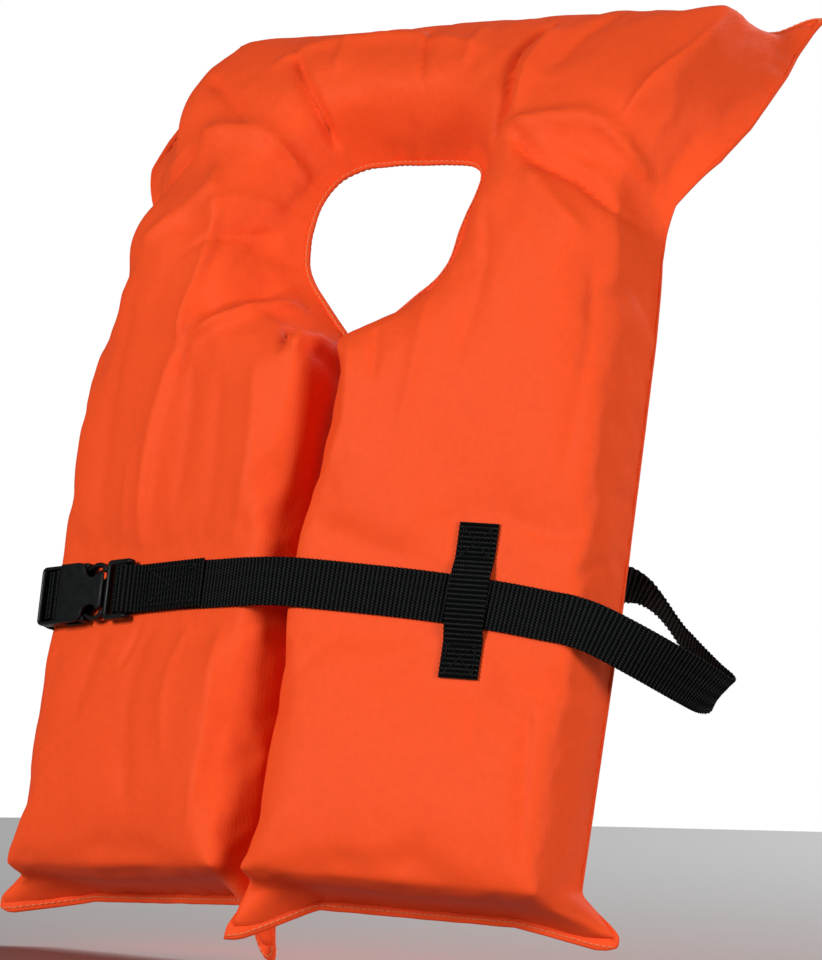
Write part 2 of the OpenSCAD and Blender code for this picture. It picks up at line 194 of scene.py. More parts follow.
def curve_through(points, counts):
    """Catmull-Rom curve through points, with counts steps in each span."""
    p = np.array([points[0], *points, points[-1]], float)
    out = [p[1]]
    for k, count in enumerate(counts, 1):
        a, b, c, d = p[k - 1:k + 3]
        for t in (np.arange(count) + 1) / count:
            out.append(0.5 * (2 * b + (c - a) * t + (2 * a - 5 * b + 4 * c - d) * t ** 2
                              + (3 * b - a - 3 * c + d) * t ** 3))
    return np.array(out)


def straight_through(points, counts):
    """Straight runs through points, with counts steps in each."""
    p = np.array(points, float)
    runs = [p[k] + (p[k + 1] - p[k]) * (np.arange(n) / n)[:, None] for k, n in enumerate(counts)]
    return np.vstack(runs + [p[-1:]])


def steps(points, pitch):
    """How many steps of about this pitch each span gets."""
    return [max(2, int(math.dist(a, b) / pitch)) for a, b in zip(points, points[1:])]


# Steps in each span of half the outline and of half the neck, and in the slit. Half the outline is three
# spans of hem, then the side, then two spans of the collar's rear.
OUTER_STEPS, NECK_STEPS, SLIT_STEPS = steps(RIGHT_SEAM, 6), steps(NECK_SEAM, 5), 48
HEM_STEPS, SIDE_STEPS, REAR_STEPS = sum(OUTER_STEPS[:3]), sum(OUTER_STEPS[3:-2]), sum(OUTER_STEPS[-2:])


def loop(right, left, neck):
    """The whole outline, anticlockwise from the slit's foot on the right."""
    outer, outer_left = straight_through(right, OUTER_STEPS), straight_through(left, OUTER_STEPS)
    hole = curve_through(neck, NECK_STEPS)
    slit = straight_through([hole[0], outer[0]], [SLIT_STEPS])
    mirror = np.array([-1.0, 1.0])
    return np.vstack([outer, (outer_left * mirror)[::-1][1:], (slit * mirror)[::-1][1:], (hole * mirror)[1:],
                      hole[::-1][1:], slit[1:-1]])


def for_each_point(hem, side, rear, slit, neck):
    """A value for each point of the outline, from its value on each stretch."""
    runs = [(hem, HEM_STEPS), (side, SIDE_STEPS), (rear, 2 * REAR_STEPS + 1), (side, SIDE_STEPS),
            (hem, HEM_STEPS), (slit, SLIT_STEPS), (neck, 2 * sum(NECK_STEPS)), (slit, SLIT_STEPS - 1)]
    return np.concatenate([np.full(count, value) for value, count in runs])


def inward(points):
    """Unit normals of a closed anticlockwise outline, pointing in."""
    along = np.roll(points, -1, 0) - np.roll(points, 1, 0)
    normal = np.stack([-along[:, 1], along[:, 0]], 1)
    return normal / np.linalg.norm(normal, axis=1)[:, None]


def tube(rings, sides, first=0, closed=False):
    """Faces round a tube. Its points are numbered from first, ring by ring; a closed tube joins its ends."""
    count = rings if closed else rings - 1
    rows = [(first + r * sides, first + (r + 1) % rings * sides) for r in range(count)]
    turns = [(k, (k + 1) % sides) for k in range(sides)]
    return [(a + k, a + m, b + m, b + k) for a, b in rows for k, m in turns]


def flat_pad():
    """The flat pad as a closed mesh, its wall leaning from the back seam to the rounded front edge."""
    back, front = loop(RIGHT_SEAM, LEFT_SEAM, NECK_SEAM), loop(RIGHT_EDGE, LEFT_EDGE, NECK_EDGE)
    radius = for_each_point(HEM_ROUND, SIDE_ROUND, SIDE_ROUND, SLIT_ROUND, NECK_ROUND)[:, None]
    normal = inward(front)
    rows = []
    for t in np.linspace(0, 1, 6):
        h = t * (PAD_THICK - radius)
        rows.append((h, back + (front - back) * ease(-20, PAD_THICK, h)))
    for a in np.radians([22, 45, 67, 90]):
        h = PAD_THICK - radius * (1 - math.sin(a))
        wall = back + (front - back) * ease(-20, PAD_THICK, h)
        rows.append((h, wall + normal * radius * (1 - math.cos(a))))
    rows[0] = (rows[0][0], back)
    n = len(back)
    verts = [(*p, float(h)) for heights, row in rows for p, h in zip(row, heights[:, 0])]
    faces = tube(len(rows), n)
    for k, flip in ((0, True), (len(rows) - 1, False)):
        ring = [Vector((*rows[k][1][i], 0)) for i in range(n)]
        for tri in geometry.tessellate_polygon([ring]):
            a, b, c = (ring[i] for i in tri)
            up = (b - a).cross(c - a).z > 0
            faces.append(tuple(k * n + i for i in (tri if up != flip else tri[::-1])))
    return verts, faces


def make_mesh(name, verts, faces):
    mesh = bpy.data.meshes.new(name)
    mesh.from_pydata([tuple(v) for v in verts], [], faces)
    mesh.update()
    obj = bpy.data.objects.new(name, mesh)
    bpy.context.scene.collection.objects.link(obj)
    return obj


def coords(mesh):
    co = np.zeros(len(mesh.vertices) * 3)
    mesh.vertices.foreach_get("co", co)
    return co.reshape(-1, 3)


def set_coords(mesh, co):
    mesh.vertices.foreach_set("co", np.ascontiguousarray(co, float).ravel())
    mesh.update()


def apply_modifiers(obj):
    """Replaces obj's mesh with what its modifiers make."""
    bpy.context.view_layer.update()
    made = bpy.data.meshes.new_from_object(obj.evaluated_get(bpy.context.evaluated_depsgraph_get()))
    obj.modifiers.clear()
    obj.data = made


def smooth(obj):
    obj.data.polygons.foreach_set("use_smooth", [True] * len(obj.data.polygons))


def normals(mesh):
    out = np.zeros(len(mesh.vertices) * 3)
    mesh.vertex_normals.foreach_get("vector", out)
    return out.reshape(-1, 3)


def tidy_normals(obj):
    work = bmesh.new()
    work.from_mesh(obj.data)
    bmesh.ops.recalc_face_normals(work, faces=work.faces)
    work.to_mesh(obj.data)
    work.free()
    return obj


def belt_height(x):
    """Height of the belt's centre on the panels at x across."""
    return -BELT_DROP - np.abs(x) * np.where(x > 0, math.tan(BELT_FALL), math.tan(BUCKLE_FALL))


def under_webbing(x, s):
    """1 where the belt, the keeper or the buckle presses on the cover, and 0 away from them."""
    from_belt = np.abs(s - belt_height(x))
    belt = 1 - ease(BELT_WIDTH / 2 + 1, BELT_WIDTH / 2 + 13, from_belt)
    beside = np.abs(x - SLIT_CLOSE - KEEPER_ACROSS)
    above = np.abs(s + BELT_DROP + KEEPER_DROP)
    keeper = (1 - ease(KEEPER_WIDTH / 2 + 1, KEEPER_WIDTH / 2 + 10, beside)) \
        * (1 - ease(KEEPER_LENGTH / 2 + 1, KEEPER_LENGTH / 2 + 10, above))
    buckle = (1 - ease(38, 48, np.abs(x + BUCKLE_MIDDLE))) * (1 - ease(17, 28, from_belt))
    return np.maximum(np.maximum(belt, keeper), buckle)


def seam_distance(x, s):
    """Distance of flat points from the back seam, the number of the nearest seam point, and those points."""
    outline = loop(RIGHT_SEAM, LEFT_SEAM, NECK_SEAM)
    span = np.roll(outline, -1, 0) - outline
    quarters = np.array([0, 0.25, 0.5, 0.75])
    fine = (outline[:, None] + span[:, None] * quarters[:, None]).reshape(-1, 2)
    tree = kdtree.KDTree(len(fine))
    for i, p in enumerate(fine):
        tree.insert((p[0], p[1], 0), i)
    tree.balance()
    found = [tree.find((a, b, 0)) for a, b in zip(x, s)]
    return np.array([f[2] for f in found]), np.array([f[1] for f in found]), fine


def simulate(obj, pinned):
    """Cloth under a light inner pressure, held along its seams."""
    group = obj.vertex_groups.new(name="pin")
    for i in np.nonzero(pinned > 0.01)[0]:
        group.add([int(i)], float(pinned[i]), "REPLACE")
    cloth = obj.modifiers.new("cloth", "CLOTH")
    settings = cloth.settings
    settings.quality = 5
    settings.mass = 0.25
    settings.tension_stiffness = settings.compression_stiffness = 18
    settings.shear_stiffness = 8
    settings.bending_stiffness = 0.4
    settings.use_pressure = True
    settings.uniform_pressure_force = 4
    settings.shrink_min = settings.shrink_max = -0.012
    settings.vertex_group_mass = "pin"
    settings.effector_weights.gravity = 0
    cloth.collision_settings.use_collision = False
    cloth.collision_settings.use_self_collision = False
    scene = bpy.context.scene
    scene.frame_start, scene.frame_end = 1, CLOTH_FRAMES
    cloth.point_cache.frame_start, cloth.point_cache.frame_end = 1, CLOTH_FRAMES
    for frame_number in range(1, CLOTH_FRAMES + 1):
        scene.frame_set(frame_number)
    apply_modifiers(obj)
    scene.frame_set(1)


def padded_cover():
    """The cover's mesh in the row frame, with its flat pattern coordinates."""
    pad = make_mesh("cover", *flat_pad())
    set_coords(pad.data, coords(pad.data) * MM)
    remesh = pad.modifiers.new("remesh", "REMESH")
    remesh.mode = "VOXEL"
    remesh.voxel_size = VOXEL * MM
    relax = pad.modifiers.new("relax", "SMOOTH")
    relax.factor, relax.iterations = 0.5, 1
    apply_modifiers(pad)
    flat = coords(pad.data) / MM
    x, s, h = flat.T
    away, nearest, seam = seam_distance(x, s)
    snap = (1 - ease(3, 6, h)) * (1 - ease(VOXEL, 2 * VOXEL, away))
    flat[:, :2] += (seam[nearest] - flat[:, :2]) * snap[:, None]
    flat[:, 2] *= 1 - 0.8 * snap
    x, s, h = flat.T
    rest = cover_point(x, s, h)
    set_coords(pad.data, rest)
    press = under_webbing(x, s) * ease(20, 36, h)
    simulate(pad, np.clip(np.maximum(snap, press), 0, 1))
    moved = coords(pad.data) - rest
    # The cloth may move furthest on the front, little at the seam and the hem, and not under the webbing.
    hem = 0.12 + 0.88 * ease(-290, -235, s)
    limit = (1.5 + 6.0 * ease(4, 30, h)) * (1 - press) * hem * MM
    size = np.linalg.norm(moved, axis=1)
    held = limit * np.tanh(size / np.maximum(limit, 1e-9)) / np.maximum(size, 1e-9)
    set_coords(pad.data, rest + moved * held[:, None])
    guide = pad.copy()
    guide.data = pad.data.copy()
    bpy.context.scene.collection.objects.link(guide)
    set_coords(guide.data, flat)
    for o in (pad, guide):
        fine = o.modifiers.new("fine", "SUBSURF")
        fine.levels = fine.render_levels = 1
        apply_modifiers(o)
    flat = coords(guide.data)
    bpy.data.objects.remove(guide)
    return pad, flat


# Folds in the cover: points [x, s], half width and height of the fold, and how much it leans to its right.
FOLDS = [
    # left panel: the knot below the shoulder, with the folds that run from it
    ([(-84, -10), (-82, 17), (-78, 56)], 6, 4.5, -0.7),
    ([(-77, -6), (-47, 12), (-14, 30)], 7, 5.5, -0.8),
    ([(-80, 6), (-50, 30), (-20, 48)], 13, -5.0, 0.0),
    ([(-82, -4), (-92, -50), (-97, -124)], 9, 4.0, 0.8),
    ([(-76, -8), (-81, -26)], 4, -3.2, 0.5),
    ([(-72, -14), (-66, -50), (-70, -100)], 8, -2.4, 0.0),
    ([(-30, -14), (-22, -70), (-26, -118)], 7, 2.4, 0.0),
    ([(-50, -20), (-44, -80), (-50, -120)], 9, -2.0, 0.0),
    ([(-110, -60), (-108, -90), (-112, -122)], 6, 2.2, 0.4),
    ([(-128, 30), (-134, -40), (-128, -110)], 12, -2.6, 0.0),
    # left panel: the curl at the top of the slit, a ridge with a dent beside it
    ([(-15, 8), (-9, 1), (-9, -14)], 3.5, 4.5, 0.0),
    ([(-24, 6), (-17, -3), (-18, -14)], 3, -4.5, 0.0),
    # left panel: below the belt
    ([(-24, -150), (-20, -215), (-26, -268)], 8, 2.2, 0.4),
    ([(-78, -150), (-84, -190), (-70, -260)], 11, -2.4, 0.4),
    ([(-88, -150), (-96, -180)], 4, -2.6, 0.3),
    ([(-50, -150), (-54, -190), (-48, -230)], 6, 1.6, 0.0),
    ([(-118, -150), (-124, -210)], 8, -2.0, 0.0),
    # left shoulder
    ([(-112, 98), (-139, 84), (-156, 66)], 7, -5.0, 0.6),
    ([(-86, 76), (-112, 62), (-136, 44)], 8, 3.6, 0.0),
    ([(-118, 62), (-60, 52), (-22, 40)], 16, -4.5, 0.0),
    ([(-100, 86), (-84, 62), (-82, 30)], 7, 3.0, 0.4),
    ([(-56, 60), (-78, 54), (-100, 40)], 3.5, -2.2, 0.0),
    ([(-57, 72), (-80, 70), (-98, 60)], 3.5, 2.0, 0.0),
    # collar: folds round the neck, and the creases that run out from them
    ([(-96, 132), (-69, 152), (-11, 160), (60, 140)], 7, 3.6, 0.6),
    ([(-12, 176), (2, 146), (12, 120)], 2.6, -3.4, -0.8),
    ([(74, 170), (65, 138), (72, 106), (64, 78)], 4.5, -8.0, 0.7),
    ([(78, 166), (79, 130), (82, 98)], 7, 4.4, 0.0),
    ([(-84, 150), (-62, 122), (-36, 96)], 5, -6.5, 0.6),
    ([(-134, 134), (-114, 118), (-84, 96)], 7, -4.5, 0.4),
    ([(-154, 80), (-120, 95), (-72, 95), (-34, 76)], 5, 5.0, -0.3),
    ([(-54, 160), (-46, 126)], 5, 2.4, 0.0),
    ([(110, 180), (96, 150), (92, 120)], 12, -3.4, 0.0),
    ([(30, 170), (34, 130)], 5, 2.0, 0.0),
    ([(142, 96), (158, 122), (168, 150), (170, 186)], 5, 4.0, 0.6),
    # right shoulder: a deep fold between two ridges
    ([(80, 97), (104, 86), (134, 79), (166, 64)], 4.5, -7.0, 0.6),
    ([(74, 94), (104, 98), (136, 99), (168, 84)], 4.5, 6.5, -0.4),
    ([(98, 82), (124, 68), (152, 50)], 7, 4.0, 0.4),
    ([(108, 92), (126, 90), (144, 84)], 3, -2.6, 0.0),
    # right panel
    ([(86, 70), (92, 30), (84, -20)], 12, -3.0, 0.0),
    ([(60, 26), (64, -10), (60, -60)], 8, 2.0, 0.0),
    ([(34, 4), (40, -30)], 6, -2.2, 0.0),
    ([(16, 0), (22, -40), (18, -90)], 5, 1.6, 0.0),
    ([(150, 50), (156, 0), (152, -80)], 7, -2.0, 0.3),
    ([(150, -180), (156, -240), (160, -276)], 6, -2.4, 0.4),
    ([(120, -176), (126, -220)], 8, -1.2, 0.0),
]


def fold_height(x, s):
    """Height of all the folds at flat points."""
    total = np.zeros(len(x))
    for points, width, height, lean in FOLDS:
        line = curve_through(points, [6] * (len(points) - 1))
        runs = np.linalg.norm(np.diff(line, axis=0), axis=1)
        start = np.concatenate([[0], np.cumsum(runs)])
        nearest = np.full(len(x), 1e9)
        across = np.zeros(len(x))
        place = np.zeros(len(x))
        for k, run in enumerate(runs):
            dx, ds = (line[k + 1] - line[k]) / run
            from_x, from_s = x - line[k][0], s - line[k][1]
            along = np.clip(from_x * dx + from_s * ds, 0, run)
            off_x, off_s = from_x - along * dx, from_s - along * ds
            far = np.hypot(off_x, off_s)
            closer = far < nearest
            nearest = np.where(closer, far, nearest)
            across = np.where(closer, off_x * ds - off_s * dx, across)
            place = np.where(closer, (start[k] + along) / start[-1], place)
        half = width * (0.55 + 0.45 * np.sin(math.pi * place))
        crest_light_gap_shade = np.exp(0.4 - 2 * np.sqrt((nearest / half) ** 2 + 0.04))
        leaning = 1 + lean * np.clip(across / half, -1, 1)
        total += height * (crest_light_gap_shade * leaning) * ease(-0.02, 0.2, place) * (1 - ease(0.7, 1.0, place) * 0.9)
    return total


def puckers(h, away, nearest):
    """Small gathers that run in from the seams, where the seam's points lie 1.5 mm apart."""
    wave = np.array([noise.noise((p / 7.0, 0.3 * (a > 0), 4.0)) for p, a in zip(nearest * 1.5, away)])
    return 0.8 * wave * (1 - ease(0, 14, np.hypot(away, h * 0.6)))


def crumple(x, s, scale, seed):
    return np.array([noise.noise((a / scale, b / scale, seed)) for a, b in zip(x, s)])


def wrinkle(pad, flat):
    """Moves the cover along its normals by the folds, the seams' gathers and a slight unevenness."""
    x, s, h = flat.T
    away, nearest, _ = seam_distance(x, s)
    front = ease(6, 24, h)
    calm = 1 - under_webbing(x, s) * front
    move = fold_height(x, s) * front
    move += crumple(x, s, 42, 3.0) * 1.6 * front * (1 - 0.7 * ease(125, 160, np.abs(x)))
    shoulder = np.exp(-(((s - 70) / 50) ** 2))
    move += crumple(x, s, 15, 8.0) * (0.35 + 0.9 * shoulder) * ease(2, 16, h)
    move += puckers(h, away, nearest)
    move *= calm
    set_coords(pad.data, coords(pad.data) + normals(pad.data) * (move * MM)[:, None])


# ------------------------------------------------------------ materials


class Nodes:
    """A short way to write a material's nodes."""

    def __init__(self, name):
        self.material = bpy.data.materials.new(name)
        self.material.use_nodes = True
        self.tree = self.material.node_tree
        self.shader = self.tree.nodes["Principled BSDF"]

    def add(self, kind, inputs=None, **settings):
        node = self.tree.nodes.new("ShaderNode" + kind)
        for key, value in settings.items():
            setattr(node, key, value)
        for key, value in (inputs or {}).items():
            self.set(node, key, value)
        return node

    def set(self, node, key, value):
        """Sets an input to a value, to a node's first output, or to the output named in a pair."""
        if isinstance(value, tuple) and len(value) == 2 and hasattr(value[0], "outputs"):
            self.tree.links.new(value[0].outputs[value[1]], node.inputs[key])
        elif hasattr(value, "outputs"):
            self.tree.links.new(value.outputs[0], node.inputs[key])
        else:
            node.inputs[key].default_value = value

    def math(self, operation, a, b=0.0):
        return self.add("Math", {0: a, 1: b}, operation=operation)

    def ranged(self, value, low, high, to_low, to_high):
        """Spreads a value between low and high over another range."""
        return self.add("MapRange", {"Value": value, "From Min": low, "From Max": high,
                                     "To Min": to_low, "To Max": to_high})

    def mixed(self, factor, first, second, blend="MIX"):
        """The colour between two colours; 6, 7 and output 2 are the colour sockets."""
        return self.add("Mix", {"Factor": factor, 6: first, 7: second}, data_type="RGBA", blend_type=blend), 2

    def bump(self, height, distance, strength=1.0, after=None):
        node = self.add("Bump", {"Height": height, "Distance": distance, "Strength": strength})
        if after is not None:
            self.set(node, "Normal", after)
        return node

    def surface(self, **sockets):
        for key, value in sockets.items():
            self.set(self.shader, key.replace("_", " "), value)
        return self.material


def times(colour, factor):
    """A colour with its red, green and blue multiplied."""
    return tuple(c * factor for c in colour[:3]) + (1.0,)


def nylon(name, colour):
    """Plain-weave nylon with a soft sheen, fine threads and slight colour variation."""
    n = Nodes(name)
    at = (n.add("TexCoord"), "Object")
    wave = {"Vector": at, "Scale": 330.0, "Distortion": 1.2, "Detail": 1.0, "Detail Scale": 3.0}
    weave = n.math("ADD", *[n.add("TexWave", wave, bands_direction=direction) for direction in ("X", "Z")])
    slub = n.add("TexNoise", {"Vector": at, "Scale": 240.0, "Detail": 3.0})
    cloudy = n.add("TexNoise", {"Vector": at, "Scale": 9.0, "Detail": 3.0})
    crinkle = n.add("TexNoise", {"Vector": at, "Scale": 26.0, "Detail": 2.0, "Roughness": 0.4,
                                 "Distortion": 0.4})
    base = n.mixed(n.ranged(cloudy, 0.3, 0.7, 0.0, 1.0), times(colour, 0.97), colour)
    flecked = n.mixed(1.0, base, n.ranged(slub, 0.3, 0.7, 0.97, 1.02), "MULTIPLY")
    rough = n.ranged(cloudy, 0.3, 0.7, 0.5, 0.6)
    bump = n.bump(weave, 0.00006, 0.5, n.bump(crinkle, 0.0008, 0.15))
    return n.surface(Base_Color=flecked, Roughness=rough, Normal=bump, Sheen_Weight=0.02, Sheen_Roughness=0.5,
                     Sheen_Tint=(1.0, 0.45, 0.3, 1.0), Specular_IOR_Level=0.06)


RIB, RIB_DEPTH = 2.5, 0.5  # pitch and depth of the ribs across the webbing
ROWS = 2 * math.pi / (RIB * MM)  # the rows of beads follow the ribs
BEADS = 2 * math.pi / 0.0014  # the yarns lie 1.4 mm apart across the strap


def strap_web(name, colour):
    """Ribbed webbing, with painted shade in the gaps between its ribs and painted light on their crests. Its
    own map runs along the strap, then across it, in metres.
    """
    n = Nodes(name)
    split = n.add("SeparateXYZ", {"Vector": n.add("UVMap", uv_map="strap")})
    slant = n.math("MULTIPLY", (split, 0), ROWS / 2)
    row = n.math("COSINE", n.math("MULTIPLY", (split, 0), ROWS))
    bead = n.math("COSINE", n.math("ADD", n.math("MULTIPLY", (split, 1), BEADS), slant))
    height = n.math("ADD", n.math("MULTIPLY", row, 0.6), n.math("MULTIPLY", bead, 0.4))
    fuzz = n.add("TexNoise", {"Vector": (n.add("TexCoord"), "Object"), "Scale": 900.0, "Detail": 2.0})
    # Painted shade and light: the colour is darkened in the gaps between the ribs and beads and made three
    # times lighter on their crests, and the crests reflect more than the gaps.
    crest_light_gap_shade = n.ranged(height, -0.3, 0.8, 0.0, 1.0)
    base = n.mixed(crest_light_gap_shade, colour, times(colour, 3))
    bump = n.bump(height, 0.0004, 1.0, n.bump(fuzz, 0.0001, 0.4))
    return n.surface(Base_Color=base, Roughness=n.ranged(fuzz, 0.3, 0.7, 0.5, 0.7), Normal=bump,
                     Specular_IOR_Level=n.ranged(crest_light_gap_shade, 0.0, 1.0, 0.01, 0.34))


def twisted_thread(name, colour):
    n = Nodes(name)
    at = (n.add("TexCoord"), "Object")
    ply = n.add("TexWave", {"Vector": at, "Scale": 900.0, "Distortion": 0.5}, bands_direction="DIAGONAL")
    return n.surface(Base_Color=n.mixed(ply, times(colour, 0.7), colour), Roughness=0.6,
                     Normal=n.bump(ply, 0.0001, 0.6), Specular_IOR_Level=0.15)


def moulded_plastic(name, colour):
    """Satin acetal with a fine moulded grain and faint scuffs."""
    n = Nodes(name)
    at = (n.add("TexCoord"), "Object")
    grain = n.add("TexNoise", {"Vector": at, "Scale": 1400.0, "Detail": 2.0})
    scuff = n.add("TexNoise", {"Vector": at, "Scale": 160.0, "Detail": 5.0, "Roughness": 0.7})
    base = n.mixed(n.ranged(scuff, 0.3, 0.7, 0.0, 1.0), colour, times(colour, 1.3))
    return n.surface(Base_Color=base, Roughness=n.ranged(scuff, 0.35, 0.7, 0.34, 0.5),
                     Normal=n.bump(grain, 0.00004, 0.5), Specular_IOR_Level=0.22)


def paint(obj, material):
    obj.data.materials.clear()
    obj.data.materials.append(material)
    return obj


ORANGE = nylon("orange_nylon", (0.88, 0.083, 0.0175, 1.0))
THREAD = twisted_thread("orange_thread", (0.95, 0.24, 0.09, 1.0))
WEBBING = strap_web("black_webbing", (0.0017, 0.002, 0.002, 1.0))
BLACK_THREAD = twisted_thread("black_thread", (0.005, 0.0055, 0.006, 1.0))
PLASTIC = moulded_plastic("black_acetal", (0.0035, 0.004, 0.0042, 1.0))

# ------------------------------------------------------------ cover

cover, flat = padded_cover()
wrinkle(cover, flat)
smooth(cover)
paint(cover, ORANGE)

# ------------------------------------------------------------ seam

# Cross-section of the seam's flap: [share of its width outwards, height]. The first row runs under the cover.
FLAP_SECTION = [(-1.4, 0.6), (-0.4, 1.0), (0.3, 1.1), (0.85, 0.9), (1.0, 0.0),
                (0.85, -0.9), (0.3, -1.1), (-0.6, -1.0)]
FLAP_FACE = 1.1  # half thickness of the flap
UNDER_COVER = 3.5  # the first row takes the flap to be at least this wide
HEM_FLAP, COLLAR_FLAP, SIDE_FLAP, NECK_FLAP, SLIT_FLAP = 4.5, 4.0, 0.8, 2.2, 0.8


def seam_line(pitch):
    """Points along the back seam, their outward directions and the flap's width there."""
    outline = loop(RIGHT_SEAM, LEFT_SEAM, NECK_SEAM)
    width = for_each_point(HEM_FLAP, SIDE_FLAP, COLLAR_FLAP, SLIT_FLAP, NECK_FLAP)
    rows = np.column_stack([outline, -inward(outline), width])
    rows = np.vstack([rows, rows[:1]])
    run = np.concatenate([[0], np.cumsum(np.linalg.norm(np.diff(rows[:, :2], axis=0), axis=1))])
    at = np.linspace(0, run[-1], int(run[-1] / pitch), endpoint=False)
    return at, np.stack([np.interp(at, run, rows[:, k]) for k in range(5)], 1)


def flap_wave(at, width):
    """How far the flap ripples, at a distance along the seam."""
    return np.array([noise.noise((a / 13.0, 0.0, 2.0)) for a in at]) * 0.4 * width


def seam_flap():
    at, line = seam_line(2.0)
    wave = flap_wave(at, line[:, 4])
    rings = []
    for out, h in FLAP_SECTION:
        reach = np.maximum(line[:, 4], UNDER_COVER) if out < -1 else line[:, 4]
        place = line[:, :2] + line[:, 2:4] * (reach * out)[:, None]
        rings.append(cover_point(place[:, 0], place[:, 1], h + wave * max(out, 0)))
    verts = np.stack(rings, 1).reshape(-1, 3)
    flap = make_mesh("seam_flap", verts, tube(len(line), len(FLAP_SECTION), closed=True))
    smooth(tidy_normals(flap))
    return paint(flap, ORANGE)


def flap_stitch_lines():
    """Lines of stitches on the flap's front and back, where it is wide enough to sew."""
    at, line = seam_line(3.0)
    share = 0.45  # of the flap's width
    place = line[:, :2] + line[:, 2:4] * (line[:, 4] * share)[:, None]
    wave = flap_wave(at, line[:, 4]) * share
    wide = line[:, 4] > 1.5
    breaks = np.nonzero(np.diff(wide.astype(int)))[0] + 1
    lines = []
    for face in (1, -1):
        on = cover_point(place[:, 0], place[:, 1], FLAP_FACE * face + wave)
        above = cover_point(place[:, 0], place[:, 1], (FLAP_FACE + 2) * face + wave)
        rows = np.hstack([on, (above - on) / MM])
        lines += [part for part, keep in zip(np.split(rows, breaks), np.split(wide, breaks))
                  if keep[0] and len(part) > 2]
    return lines


# ------------------------------------------------------------ webbing

OVER = BELT_DEPTH + 1.5 * WEB_THICK + 0.2  # depth of the sewn fold's middle
# Cross-section of webbing: [across, out], as shares of its half width and half thickness
WEB_SECTION = [(a, 1) for a in np.linspace(-0.97, 0.97, 17)] + [(1, 0.4), (1, -0.4)] \
    + [(a, -1) for a in np.linspace(0.97, -0.97, 9)] + [(-1, -0.4), (-1, 0.4)]


def ribbon(name, centre, up, width=BELT_WIDTH, body="front_panels"):
    """Ribbed webbing along centre points in the row frame, its width along up at each point."""
    counts = [12] * (len(centre) - 1)
    path, ups = curve_through(centre, counts), curve_through(up, counts)
    run = np.concatenate([[0], np.cumsum(np.linalg.norm(np.diff(path, axis=0), axis=1))])
    at = np.arange(0, run[-1], RIB * MM / 6)
    path, ups = (np.stack([np.interp(at, run, v[:, k]) for k in range(3)], 1) for v in (path, ups))
    along = np.gradient(path, axis=0)
    along /= np.linalg.norm(along, axis=1)[:, None]
    ups -= along * (ups * along).sum(1)[:, None]
    ups /= np.linalg.norm(ups, axis=1)[:, None]
    out = np.cross(ups, along)
    verts = []
    for k, (a, o) in enumerate(WEB_SECTION):
        phase = 2 * math.pi * (at / MM + 0.2 * RIB * (k % 2)) / RIB
        rib = 0.5 - 0.5 * np.cos(phase)
        half_width = (width / 2 - 0.3 * rib)[:, None] * MM
        half_thick = (WEB_THICK / 2 + 0.05 - RIB_DEPTH * rib)[:, None] * MM
        verts.append(path + ups * a * half_width + out * o * half_thick)
    n, rows = len(WEB_SECTION), len(at)
    verts = np.stack(verts, 1).reshape(-1, 3)
    faces = tube(rows, n)
    faces += [tuple(range(n)), tuple((rows - 1) * n + k for k in reversed(range(n)))]
    obj = make_mesh(name, verts, faces)
    uv = obj.data.uv_layers.new(name="strap")
    for corner in obj.data.loops:
        row, k = divmod(corner.vertex_index, n)
        uv.data[corner.index].uv = (at[row], WEB_SECTION[k][0] * width / 2 * MM)
    smooth(tidy_normals(obj))
    paint(obj, WEBBING)
    if body:
        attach(obj, body)
    return obj


def on_left_belt(points):
    """Points [u, depth, height] along the left panel's sloping belt, in the row frame."""
    u, d, v = np.asarray(points, float).reshape(-1, 3).T
    c, t = math.cos(BUCKLE_FALL), math.sin(BUCKLE_FALL)
    return on_panel(np.stack([u * c + v * t, d, v * c - u * t - BELT_DROP], 1), -1)


def along_right(points):
    """Centres and width directions of webbing on the right panel, from [u, depth, height, up...]."""
    p = np.array([list(q) + [0, 0, 1] * (len(q) == 3) for q in points], float)
    p[:, 2] -= BELT_DROP
    centre = on_panel(p[:, :3])
    return centre, (on_panel(p[:, :3] + p[:, 3:]) - centre) / MM


def along_left(points):
    p = np.array(points, float)
    centre = on_left_belt(p)
    return centre, (on_left_belt(p + (0, 0, 1)) - centre) / MM


def joined(*runs):
    return np.vstack([r[0] for r in runs]), np.vstack([r[1] for r in runs])


UNDER = BELT_DEPTH + WEB_THICK / 2  # depth of the belt's middle on the panels
# The belt's end lies on itself, turns over the plug's bar and runs across both panels.
left_run = [(38, OVER, 0), (60, OVER, 0), (84, OVER, 0), (91, OVER + 1.4, 0), (95.5, 50.3, 0),
            (98.5, 51.0, 0), (101.4, 50.2, 0), (102.7, 48.0, 0), (101.2, 45.6, 0), (97, 44.7, 0),
            (88, UNDER, 0), (60, UNDER, 0), (30, UNDER, -1), (4, UNDER, -1.8)]
right_run = [(5, UNDER, -1.5), (40, UNDER, -2.3), (80, UNDER, -3.8), (120, UNDER, -6.6), (150, UNDER, -9.9),
             (163, UNDER - 0.2, -163 * math.tan(BELT_FALL))]
slack = [(178, 41, -15.2, 0.1, 0, 1), (197, 25, -23, 0.3, 0.1, 1), (211, -4, -30, 0.4, 0.3, 0.8),
         (214, -30, -32, 0.75, 0.3, 0.7), (208, -42, -24, 0.5, 0.7, 0.6), (188, -45, -4, 0.2, 0.9, 0.5),
         (160, -34, 21, 0.1, 0.9, 0.6), (120, -14, 14, 0, 0.2, 1)]
across_back = [(85, -8, 9), (43, -4.5, 6), (4, -3.8, 2)]
behind_left = [(4, -3.8, 2), (40, -3.2, 1), (66, -3.0, 0)]
belt = ribbon("belt", *joined(along_left(left_run), along_right(right_run + slack + across_back),
                              along_left(behind_left)))
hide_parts("belt_front", "belt_fold", "belt_rear")

